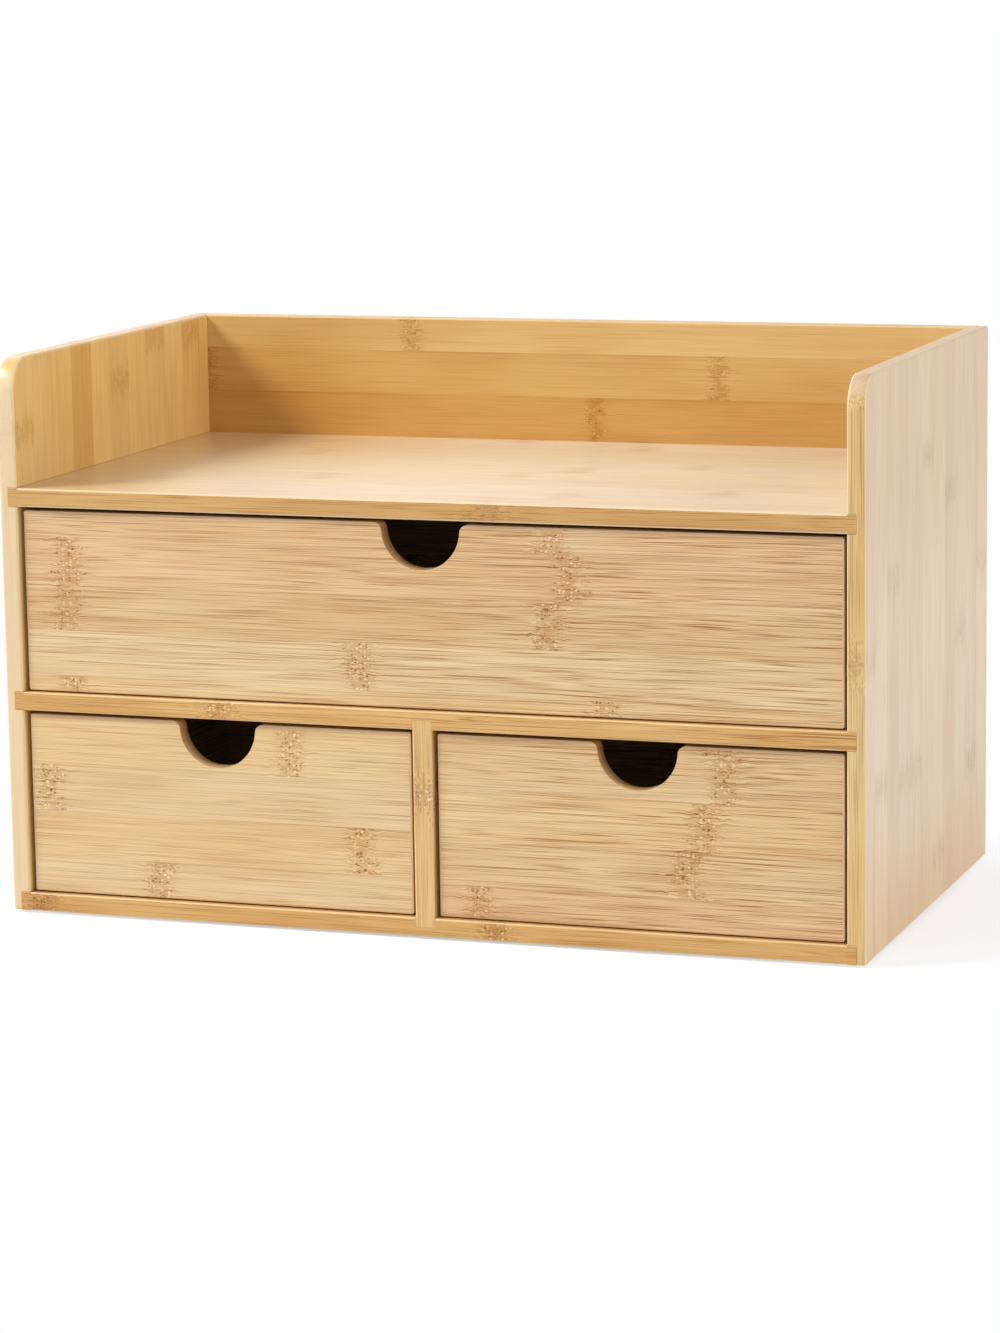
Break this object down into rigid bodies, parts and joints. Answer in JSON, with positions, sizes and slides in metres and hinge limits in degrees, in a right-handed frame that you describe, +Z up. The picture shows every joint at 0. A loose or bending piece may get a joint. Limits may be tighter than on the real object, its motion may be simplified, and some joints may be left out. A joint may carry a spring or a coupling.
{
  "type": "desktop mini drawers",
  "caption": "Bamboo desktop organiser with a wide drawer above narrower side-by-side drawers, finger-notch pulls, and an open tray on top between raised side and back panels.",
  "frame": {"origin": "on the table under the middle of the case, level with the undersides of the base pads", "axes": "+X to the right as seen from the front, +Y from the drawer fronts to the back panel, +Z up; the drawers open towards -Y"},
  "size_m": [0.33, 0.19, 0.209],
  "materials": {
    "bamboo_side": "flat-grain bamboo, strips upright, satin clear finish",
    "bamboo_shelf": "flat-grain bamboo, strips along the width, satin clear finish",
    "bamboo_back": "flat-grain bamboo, golden, strips along the width, satin clear finish",
    "bamboo_front": "flat-grain bamboo, light, strips along the width, satin clear finish",
    "bamboo_wall": "thin sanded bamboo board, satin clear finish",
    "bamboo_bottom": "thin bamboo ply, sanded",
    "pad_rubber": "matt dark anti-slip foam rubber"
  },
  "bodies": {
    "case": {"left_side": "bamboo_side", "right_side": "bamboo_side", "back_panel": "bamboo_back", "top_shelf": "bamboo_shelf", "middle_shelf": "bamboo_shelf", "base_panel": "bamboo_shelf", "centre_divider": "bamboo_side", "base_pads": "pad_rubber"},
    "top_drawer": {"top_drawer_front": "bamboo_front", "top_drawer_left_side": "bamboo_wall", "top_drawer_right_side": "bamboo_wall", "top_drawer_back": "bamboo_wall", "top_drawer_bottom": "bamboo_bottom"},
    "left_drawer": {"left_drawer_front": "bamboo_front", "left_drawer_left_side": "bamboo_wall", "left_drawer_right_side": "bamboo_wall", "left_drawer_back": "bamboo_wall", "left_drawer_bottom": "bamboo_bottom"},
    "right_drawer": {"right_drawer_front": "bamboo_front", "right_drawer_left_side": "bamboo_wall", "right_drawer_right_side": "bamboo_wall", "right_drawer_back": "bamboo_wall", "right_drawer_bottom": "bamboo_bottom"}
  },
  "joints": [
    {"name": "top_drawer_slide", "type": "slide", "parent": "case", "child": "top_drawer", "axis": [0, -1, 0], "range_m": [0, 0.15]},
    {"name": "left_drawer_slide", "type": "slide", "parent": "case", "child": "left_drawer", "axis": [0, -1, 0], "range_m": [0, 0.15]},
    {"name": "right_drawer_slide", "type": "slide", "parent": "case", "child": "right_drawer", "axis": [0, -1, 0], "range_m": [0, 0.15]}
  ]
}
